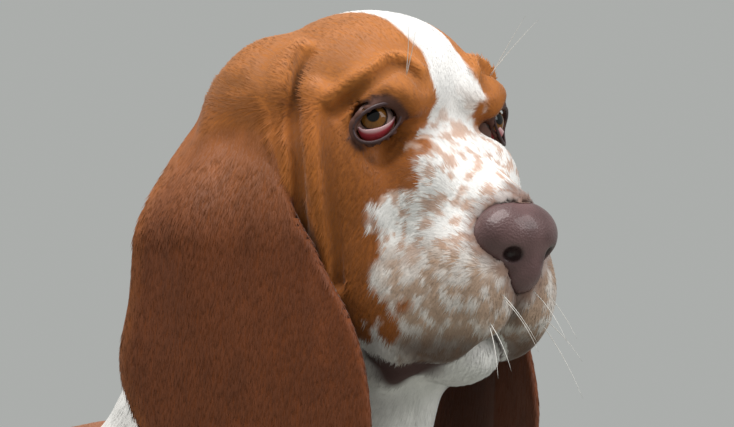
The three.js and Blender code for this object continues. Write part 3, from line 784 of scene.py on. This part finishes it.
def coat_colour(p):
    """Colour of the coat at points in millimetres round the withers, and how bare the skin is there."""
    x, y, z = (p[:, 0] - EYE_FORWARD) / S, p[:, 1] / S, (p[:, 2] - EYE_LEVEL) / S
    wide, at_head, at_jaw = np.abs(y), head(p), jaw(p)
    uneven = (noise(p, 14, 1) - 0.5) * 9 + (noise(p, 4.5, 2) - 0.5) * 5
    blaze = np.interp(z, BLAZE_AT, BLAZE_HALF) - ramp(-70, -110, x) * 6 - np.abs(y - 2)
    blaze = blaze + uneven * ramp(70, 0, z)
    white = ramp(-1.2, 1.2, blaze) * (x > -100)
    colour = mix(face_tan_with_painted_shade(p, x, wide, z), muzzle_white(p, x, y, z), white)
    under = ramp(-98, -106, z) * ramp(44, 34, wide) * (x > -70) * (at_jaw < 3)
    colour = mix(colour, WHITE, under)
    mouth = under * ramp(4, -2, z + 116) * ramp(-12, 0, x) * ramp(34, 24, x) * ramp(12, 20, wide)
    colour = mix(colour, BARE, mouth)
    lip_line = ramp(3.2, 1.0, np.abs(at_head - at_jaw)) * ramp(5, 3, np.abs(at_head))
    lip_line = lip_line * ramp(-16, -6, x) * (wide < 46)
    colour = mix(colour, BARE, lip_line * 0.92)
    on_ear = ramp(3.2, 1.2, ear(p)) * (wide > ear_out(x, z) - 5)
    colour = mix(colour, ear_red(p, x, wide, z, on_ear), on_ear)
    rear = (p[:, 0] - 128) * 0.9 + (p[:, 2] - 470) * 0.44
    body = ramp(4, -4, rear + uneven * 0.6) * (1 - on_ear)
    colour = mix(colour, body_colour(p, uneven, rear), body)
    at_lids, at_opening = lids(p), opening(p)
    rim = np.clip(ramp(3.4, 1.0, at_lids) + ramp(2.5, 0.5, at_opening), 0, 1)
    colour = mix(colour, BARE, np.clip(rim * 0.9, 0, 1))
    bare = np.clip(np.maximum.reduce([
        ramp(2.0, 0.6, at_lids), ramp(1.5, 0.3, at_opening), ramp(2.5, 1.0, nose(p)), mouth, lip_line,
        ramp(5, 2, p[:, 2])]), 0, 1)
    return np.clip(colour * (0.9 + 0.2 * noise(p, 9, 7))[:, None], 0, 1), bare


skin_colour, skin_bare = coat_colour(points)
skin = mesh_object("skin", place(points), quads, SKIN, skin_colour)
print("mean colour", skin_colour.mean(0).round(3), "bare share", skin_bare.mean().round(3))

# %% [markdown]
# The skin is unwrapped once by the turns of its own faces, so that each tuft can take a place on it.

# %% The unwrap
for other in bpy.context.view_layer.objects:
    other.select_set(False)
skin.select_set(True)
bpy.context.view_layer.objects.active = skin
bpy.ops.object.mode_set(mode="EDIT")
bpy.ops.mesh.select_all(action="SELECT")
bpy.ops.uv.smart_project(angle_limit=1.15, island_margin=0.001)
bpy.ops.object.mode_set(mode="OBJECT")
skin.data.uv_layers[0].name = "OFBake"
skin_uv = np.empty(len(skin.data.loops) * 2, np.float32)
skin.data.uv_layers["OFBake"].data.foreach_get("uv", skin_uv)
skin_uv = skin_uv.reshape(-1, 4, 2)
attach(skin, "root")
FLESH = [n for n in frame["nodes"] if not n.startswith("eye_") and n != "nose"]
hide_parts(*FLESH)
print("unwrapped", skin_uv.shape)

# %% [markdown]
# The coat is short and lies flat, so most of it is the skin's own bump and colour. Tufts break the form: thin
# four-faced spikes, rooted in the skin and laid along it, close and tiny on the face and longer down the
# ears, the neck and the body. Each takes the colour of the skin where it is rooted.

# %% Where the tufts grow
TUFTS, COAT_PIECES = 330000, 7
rng = np.random.default_rng(7)
corner_points = points[quads]
first, second = corner_points[:, 2] - corner_points[:, 0], corner_points[:, 3] - corner_points[:, 1]
area = np.linalg.norm(np.cross(first, second), axis=1) / 2
middle = corner_points.mean(1)
up_here = ramp(300, 360, middle[:, 2])
density = area * (0.30 + 0.62 * up_here) * (1 - skin_bare[quads].mean(1)) * (middle[:, 2] > 2.5)
face = rng.choice(len(quads), TUFTS, p=density / density.sum())
u, v = rng.random(TUFTS), rng.random(TUFTS)
weight = np.stack([(1 - u) * (1 - v), u * (1 - v), u * v, (1 - u) * v], -1)
root = (corner_points[face] * weight[..., None]).sum(1)
root_normal = (normals[quads[face]] * weight[..., None]).sum(1)
root_normal /= np.linalg.norm(root_normal, axis=1)[:, None]
root_uv = (skin_uv[face] * weight[..., None]).sum(1)
print("roots from", root.min(0).round(), "to", root.max(0).round(), "mm")

# %% [markdown]
# Hair lies the way that it grows, and that way is smooth over the whole dog. A little chance is added to
# each tuft, and what points out of the skin is taken away, so that it lies flat.

# %% The way of the coat
def lie(p):
    """Way of the coat: back and up over the muzzle and brow, back and down on the cheeks, down the ears, the
    neck and the legs, back along the body and out along the tail."""
    x, z = (p[:, 0] - EYE_FORWARD) / S, (p[:, 2] - EYE_LEVEL) / S
    wide = np.abs(p[:, 1]) / S
    way = np.tile([-1.0, 0, -0.3], (len(p), 1))
    way = mix(way, [-0.45, 0, -1.0], ramp(300, 360, p[:, 2]))
    way = mix(way, [-0.15, 0, -1.0], ramp(150, 110, p[:, 2]))
    way = mix(way, [-0.78, 0, 0.6], ramp(-500, -560, p[:, 0]))
    before_nape = ramp(2, -2, -((p[:, 0] - 128) * 0.9 + (p[:, 2] - 470) * 0.44) / 4)
    face_way = np.tile([-1.0, 0, 0.35], (len(p), 1))
    face_way = mix(face_way, [-0.5, 0, -0.9], ramp(24, 46, wide) * ramp(20, -10, z))
    face_way = mix(face_way, [-0.55, 0, -0.85], ramp(-62, -84, z))
    way = mix(way, face_way, before_nape)
    on_ear = ramp(3, 1, ear(p))
    return mix(way, [-0.12, 0, -1.0], on_ear)


way = lie(root) + rng.normal(0, 0.10, (TUFTS, 3))
way -= (way * root_normal).sum(1)[:, None] * root_normal
way /= np.maximum(np.linalg.norm(way, axis=1), 1e-6)[:, None]
print("mean way of the coat", way.mean(0).round(2))

# %% [markdown]
# A tuft is a thin four-faced spike: two corners and a low ridge at the root and one far tip. Its corners lean
# their normals a little to the sides of the skin's, so that it takes the light softly, as fur does.

# %% The tufts
side = np.cross(root_normal, way)
head_x, head_z = (root[:, 0] - EYE_FORWARD) / S, (root[:, 2] - EYE_LEVEL) / S
on_face = ramp(-60, 10, head_x) * ramp(-150, -120, head_z)
long = 12 - 5.0 * ramp(300, 380, root[:, 2]) - 2.4 * on_face - 6 * ramp(60, 20, root[:, 2])
near_eye = ramp(26, 8, lids(root))
long = long * (1 - 0.4 * near_eye) * (0.7 + 0.6 * rng.random(TUFTS))
broad = 0.40 + 0.06 * long
lift = 0.12 + 0.045 * long * rng.random(TUFTS) ** 2
tint, _ = coat_colour(root)
tint *= (0.92 + 0.16 * rng.random(TUFTS))[:, None]
blade = np.stack([
    root + side * broad[:, None] / 2 - root_normal * 0.25,
    root - side * broad[:, None] / 2 - root_normal * 0.25,
    root + root_normal * 0.18 - way * 0.2, root + way * long[:, None] + root_normal * lift[:, None]], 1)
blade[..., 2] = np.maximum(blade[..., 2], 0.4)
blade_colour = np.repeat(tint[:, None], 4, 1) * np.array([0.94, 0.94, 0.97, 1.06])[None, :, None]
spread = root_normal[:, None] + np.array([0.45, -0.45, 0.15, 0.0])[None, :, None] * side[:, None] * 0.7
spread = spread + np.array([0.0, 0.0, -0.25, 0.35])[None, :, None] * way[:, None] * 0.7
blade_normal = spread / np.linalg.norm(spread, axis=2)[..., None]
print("tufts", TUFTS, "of", round(float(long.min()), 1), "to", round(float(long.max()), 1), "mm")

# %% [markdown]
# The coat is cut into seven pieces along the dog, to keep each of them light. Every tuft has its own small
# place in the skin's map.

# %% The coat's pieces
UV_SHAPE = np.array([[-0.0008, -0.0013], [0.0008, -0.0013], [0, -0.0006], [0, 0.0013]])
BLADE = np.array([[0, 1, 2], [0, 3, 1], [1, 3, 2], [2, 3, 0]])
a, b, c, d = blade[0]
if np.dot(np.cross(b - a, c - a), d - a) > 0:
    BLADE = BLADE[:, ::-1]
tail_to_nose = np.argsort(root[:, 0])
for n, part in enumerate(np.array_split(tail_to_nose, COAT_PIECES)):
    faces = (np.arange(len(part))[:, None, None] * 4 + BLADE[None]).reshape(-1, 3)
    uv = (root_uv[part][:, None] + UV_SHAPE[None]).reshape(-1, 2)[faces.ravel()]
    coat = mesh_object(f"coat_{n + 1}", place(blade[part].reshape(-1, 3)), faces, FUR,
                       np.clip(blade_colour[part].reshape(-1, 3), 0, 1), uv)
    coat.data.normals_split_custom_set_from_vertices(blade_normal[part].reshape(-1, 3))
    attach(coat, "root")
print("coat pieces", COAT_PIECES, "of", len(faces), "triangles")

# %% [markdown]
# The eye is a wet ball. The iris is amber-brown with fine rays and a dark rim. Each eye has its own gaze, a
# little up: the right one looks towards the camera and the left one ahead.

# %% The eyeballs
BALL_ROWS, BALL_COLUMNS = 90, 120
CORNEA_RISE = 0.9
theta, phi = np.meshgrid(
    np.linspace(0, np.pi, BALL_ROWS), np.linspace(0, 2 * np.pi, BALL_COLUMNS, endpoint=False), indexing="ij")
off, turn = theta.ravel(), phi.ravel()


def eyeball_shape(gaze):
    """Ball of radius r + 0.9 exp(-(theta / 0.62)^4) about the gaze: the cornea stands out round its axis."""
    gaze = np.array(gaze) / np.linalg.norm(gaze)
    side_way = np.cross(gaze, [0, 0, 1])
    side_way /= np.linalg.norm(side_way)
    up_way = np.cross(side_way, gaze)
    direction = np.cos(theta)[..., None] * gaze + np.sin(theta)[..., None] * (
        np.cos(phi)[..., None] * side_way + np.sin(phi)[..., None] * up_way)
    radius = EYEBALL - CORNEA_RISE + CORNEA_RISE * np.exp(-((off / 0.62) ** 4))
    return direction.reshape(-1, 3) * radius[:, None]


rays = 0.5 + 0.5 * np.sin(turn * 31 + 3 * np.sin(turn * 7)) * np.sin(turn * 13)
iris = mix(np.tile([0.21, 0.085, 0.014], (len(off), 1)), [0.09, 0.032, 0.006], rays * 0.6)
iris = mix(iris, [0.012, 0.006, 0.004], ramp(0.60, 0.72, off))
iris = mix(iris, [0.002, 0.0015, 0.0015], ramp(0.34, 0.29, off))
ball_colour = mix(iris, [0.30, 0.20, 0.18], ramp(0.74, 0.84, off))
left_eye = np.array([EYE_FORWARD, EYE_SPACING / 2, EYE_LEVEL])
ball_faces = grid_faces(BALL_ROWS, BALL_COLUMNS)
for name, sign, gaze in (("left", 1, (0.9, 0.1, 0.2)), ("right", -1, (0.66, -0.72, 0.24))):
    shape = eyeball_shape(gaze) + left_eye * [1, sign, 1]
    eye = mesh_object("eyeball_" + name, place(shape), ball_faces, WET, ball_colour)
    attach(eye, "root")
    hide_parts("eye_" + name)
print("eyes at", place(left_eye).round(3))

# %% [markdown]
# The slack lower lid hangs off the eye and shows the haw, a crescent of wet red skin. It is a thin closed
# sheet laid on the ball, pale at its upper edge.

# %% The haw
HAW_ROWS, HAW_COLUMNS = 40, 12
t, s = np.meshgrid(
    np.linspace(0.12, np.pi - 0.12, HAW_ROWS), np.linspace(0, 1, HAW_COLUMNS), indexing="ij")
across, rise = -np.cos(t) * 11.2, -np.sin(t) * (LID_DROOP * 1.02 * (1 - s) + 4.6 * s)
v2 = np.minimum((across * 0.9) ** 2 + (rise * 0.86) ** 2, (EYEBALL * 0.97) ** 2)
deep = np.sqrt((EYEBALL + 0.15) ** 2 - v2)
haw = np.stack([
    EYE_FORWARD + deep * np.cos(EYE_TURN) - across * 0.9 * np.sin(EYE_TURN),
    EYE_SPACING / 2 + deep * np.sin(EYE_TURN) + across * 0.9 * np.cos(EYE_TURN),
    EYE_LEVEL + rise * 0.9 - across * LID_TILT * 0.8], -1).reshape(-1, 3)
inner_side = haw - (haw - left_eye) * 0.12
red = mix(np.tile([0.42, 0.04, 0.055], (len(haw), 1)), [0.70, 0.44, 0.46], ramp(0.55, 0.92, s.ravel()))
sheet = grid_faces(HAW_ROWS, HAW_COLUMNS, False)
count = len(haw)
border = np.concatenate([
    np.arange(0, HAW_COLUMNS), np.arange(2 * HAW_COLUMNS - 1, count, HAW_COLUMNS),
    np.arange(count - 2, count - HAW_COLUMNS - 1, -1), np.arange(count - 2 * HAW_COLUMNS, 0, -HAW_COLUMNS)])
rim_faces = np.stack([border, border + count, np.roll(border, -1) + count, np.roll(border, -1)], -1)
haw_faces = np.vstack([sheet[:, ::-1], sheet + count, rim_faces[:, ::-1]])
left_haw = np.vstack([haw, inner_side]), haw_faces
haw_verts, haw_all = merge(left_haw, mirror(*left_haw))
haw_piece = mesh_object("haw", place(haw_verts), haw_all, MOIST, np.vstack([red, red, red, red]))
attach(haw_piece, "root")
print("haw points", len(haw_verts))

# %% [markdown]
# Both lids end in a dark, bare, wet edge, which is a thin tube that is thickest in the middle of the lid.

# %% The lid edges
EDGE_POINTS = 40
edges = []
for end, high, thick in ((np.pi, LID_RISE, 1.1), (-np.pi, LID_DROOP, 1.0)):
    line = lid_line(0, end, high * 0.93, EDGE_POINTS, LID_WIDE * 0.97, 1.4)
    shape = tube(line, thick * (0.55 + 0.45 * np.sin(np.linspace(0, np.pi, EDGE_POINTS))), 8)
    edges += [shape, mirror(*shape)]
verts, faces = merge(*edges)
rims = mesh_object("lid_edges", place(verts), faces, MOIST, np.tile([0.055, 0.028, 0.03], (len(verts), 1)))
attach(rims, "root")
print("lid edges", len(edges))

# %% [markdown]
# The nose is bare, moist, pebbled leather. It is its own small field, with two round nostrils, the slit at
# the side of each and the split below cut out of it.

# %% The nose
NOSE_CELL, NOSE_DRIFT = 1.15, 0.31
nostril = pair(flesh(
    3, head_lump(75, 13.5, -66, 9, 5.2, 4.2, 0, 25), head_limb([76, 17, -67], [66, 25, -63], 1.4, 1.8)))
split = head_limb([84, 0, -60], [76, 0, -84], 1.1, 1.3)


def nose_field(p):
    """The nose with a rounded back, less the nostrils and the split: -join(-d, cutter)."""
    d = join(nose(p) + 0.3, head_lump(58, 0, -58, 14, 21, 18)(p), 4)
    d = -join(-d, nostril(p), 2)
    return -join(-d, split(p), 1.5)


low, high = np.array(on_head(36, -32, -92)), np.array(on_head(88, 32, -30))
nose_axes = [np.arange(low[k], high[k], NOSE_CELL) + NOSE_DRIFT for k in range(3)]
nose_points, nose_quads = surface(nose_axes, sample(nose_field, nose_axes))
nose_points, _ = settle(nose_field, nose_points, 0.3, 1.0)
shade = np.tile([0.085, 0.042, 0.042], (len(nose_points), 1))
shade = mix(shade, [0.14, 0.075, 0.075], noise(nose_points, 6, 9))
behind_tip = ramp(82, 74, (nose_points[:, 0] - EYE_FORWARD) / S)
# Painted shade: the walls of the nostrils behind the tip are painted almost black.
shade = mix(shade, [0.012, 0.006, 0.006], ramp(1.2, -0.6, nostril(nose_points)) * behind_tip)
nose_piece = mesh_object("nose_pad", place(nose_points), nose_quads, LEATHER, shade)
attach(nose_piece, "root")
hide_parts("nose")
print("nose points", len(nose_points))

# %% [markdown]
# Sixteen blunt claws curve out of the toes, four to a paw.

# %% The claws
def claw(paw, i):
    """The claw of toe i: it starts a share of the paw's length ahead of the toe and dips by 2 t + 6 t^2."""
    x, y, z = toe_at(paw, i)
    a, t = np.radians(PAW_TURN), np.linspace(0, 1, 9)
    ahead = paw["long"] * 0.30 + 13 * t
    line = np.stack([x + ahead * np.cos(a), y + ahead * np.sin(a), z + 1 - 2 * t - 6 * t**2], -1)
    return tube(line, 3.4 * (1 - t) ** 0.6 + 0.5, 10)


left_claws = [claw(paw, i) for paw in PAWS for i in TOES]
claws = [shape for left in left_claws for shape in (left, mirror(*left))]
verts, faces = merge(*claws)
claw_piece = mesh_object("claws", place(verts), faces, HORN, np.tile([0.13, 0.085, 0.06], (len(verts), 1)))
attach(claw_piece, "root")
print("claws", len(claws))

# %% [markdown]
# A whisker is a stiff hair, rooted in the skin. Its root is found by sliding a point onto the head, and it
# leaves along the skin's normal and sags towards its tip.

# %% The whiskers
STARTS = [(58, 12, -84), (55, 13, -94), (14, 28, 24)]
SIDES = (1, -1, 1, -1)


def whisker(start, sign):
    """One hair from near a start in head units: p + sweep reach t + sag reach t^2 / 2."""
    x, y, z = start
    at = np.array(on_head(x, y * sign, z)) + rng.normal(0, 1.5, 3)
    for _ in range(6):
        slope = np.array([(head(at + e) - head(at - e)) / 2 for e in np.eye(3)])
        at = at - slope * head(at) * 0.9
    t = np.linspace(0, 1, 12)[:, None]
    reach = rng.uniform(26, 44)
    sweep = slope * 0.9 + np.array([0.15, 0, 0.3 if z > 0 else -0.35]) + rng.normal(0, 0.12, 3)
    line = at + sweep * reach * t + np.array([-0.2, 0, -0.35]) * reach * 0.5 * t**2
    return tube(line, 0.2 * (1 - t[:, 0]) + 0.05, 5)


hairs = [whisker(start, sign) for start in STARTS for sign in SIDES]
verts, faces = merge(*hairs)
whiskers = mesh_object("whiskers", place(verts), faces, HORN, np.tile([0.75, 0.72, 0.68], (len(verts), 1)))
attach(whiskers, "root")
print("whiskers", len(hairs))

# %% [markdown]
# The dog stands on a plain floor. The light is a bright overcast sky: soft from all round and strongest from
# above.

# %% Floor and light
FLOOR_HALF, FLOOR_DROP = 4, 0.0006
corners = [[-FLOOR_HALF, -FLOOR_HALF, 0], [FLOOR_HALF, -FLOOR_HALF, 0],
           [FLOOR_HALF, FLOOR_HALF, 0], [-FLOOR_HALF, FLOOR_HALF, 0]]
floor_verts = np.array(corners, float) - [0, 0, FLOOR_DROP]
FLOOR = material("floor", 0.9)
floor_colour = np.tile([0.30, 0.31, 0.28], (4, 1))
floor = mesh_object("floor", floor_verts, np.array([[0, 1, 2, 3]]), FLOOR, floor_colour)

world = bpy.data.worlds.new("sky")
world.use_nodes = True
world.node_tree.nodes["Background"].inputs["Color"].default_value = (0.66, 0.68, 0.66, 1)
world.node_tree.nodes["Background"].inputs["Strength"].default_value = 0.62
bpy.context.scene.world = world


def area_light(name, spot, size, power, tone):
    """A square light at a spot given from the eyes in metres, turned towards them."""
    lamp = bpy.data.lights.new(name, "AREA")
    lamp.size, lamp.energy, lamp.color = size, power, tone
    made = bpy.data.objects.new(name, lamp)
    made.location = place(left_eye * [1, 0, 1]) + np.array(spot)
    made.rotation_euler = (-Vector(spot)).to_track_quat("-Z", "Y").to_euler()
    bpy.context.scene.collection.objects.link(made)


area_light("sky_above", (-0.2, -0.7, 2.0), 1.8, 62, (1.0, 0.99, 0.97))
area_light("sky_front", (1.5, 0.6, 1.1), 1.4, 24, (1.0, 1.0, 1.0))

# %% [markdown]
# The camera stands at the dog's right front, level with its nose, far off behind a long lens. The lens is
# as long as makes the frame as wide at the dog as the photograph is there.

# %% The camera
AZIMUTH, DISTANCE, FRAME_WIDTH = np.radians(48), 2.2, 0.3964
AIM_LEFT, AIM_DOWN, SENSOR = 0.034, 0.0494, 36
right = np.array([np.cos(AZIMUTH), np.sin(AZIMUTH), 0])
backward = np.array([np.sin(AZIMUTH), -np.cos(AZIMUTH), 0])
aim = place(left_eye * [1, 0, 1]) - AIM_LEFT * right - np.array([0, 0, AIM_DOWN])
camera = bpy.data.cameras.new("camera")
camera.sensor_width = SENSOR
camera.lens = SENSOR * DISTANCE / FRAME_WIDTH
camera.clip_end = 50
camera_object = bpy.data.objects.new("camera", camera)
camera_object.location = aim + DISTANCE * backward
camera_object.rotation_euler = (np.pi / 2, 0, AZIMUTH)
bpy.context.scene.collection.objects.link(camera_object)
bpy.context.scene.camera = camera_object
bpy.context.scene.view_settings.view_transform = "Standard"
print("lens", round(camera.lens, 1), "mm")

# %% [markdown]
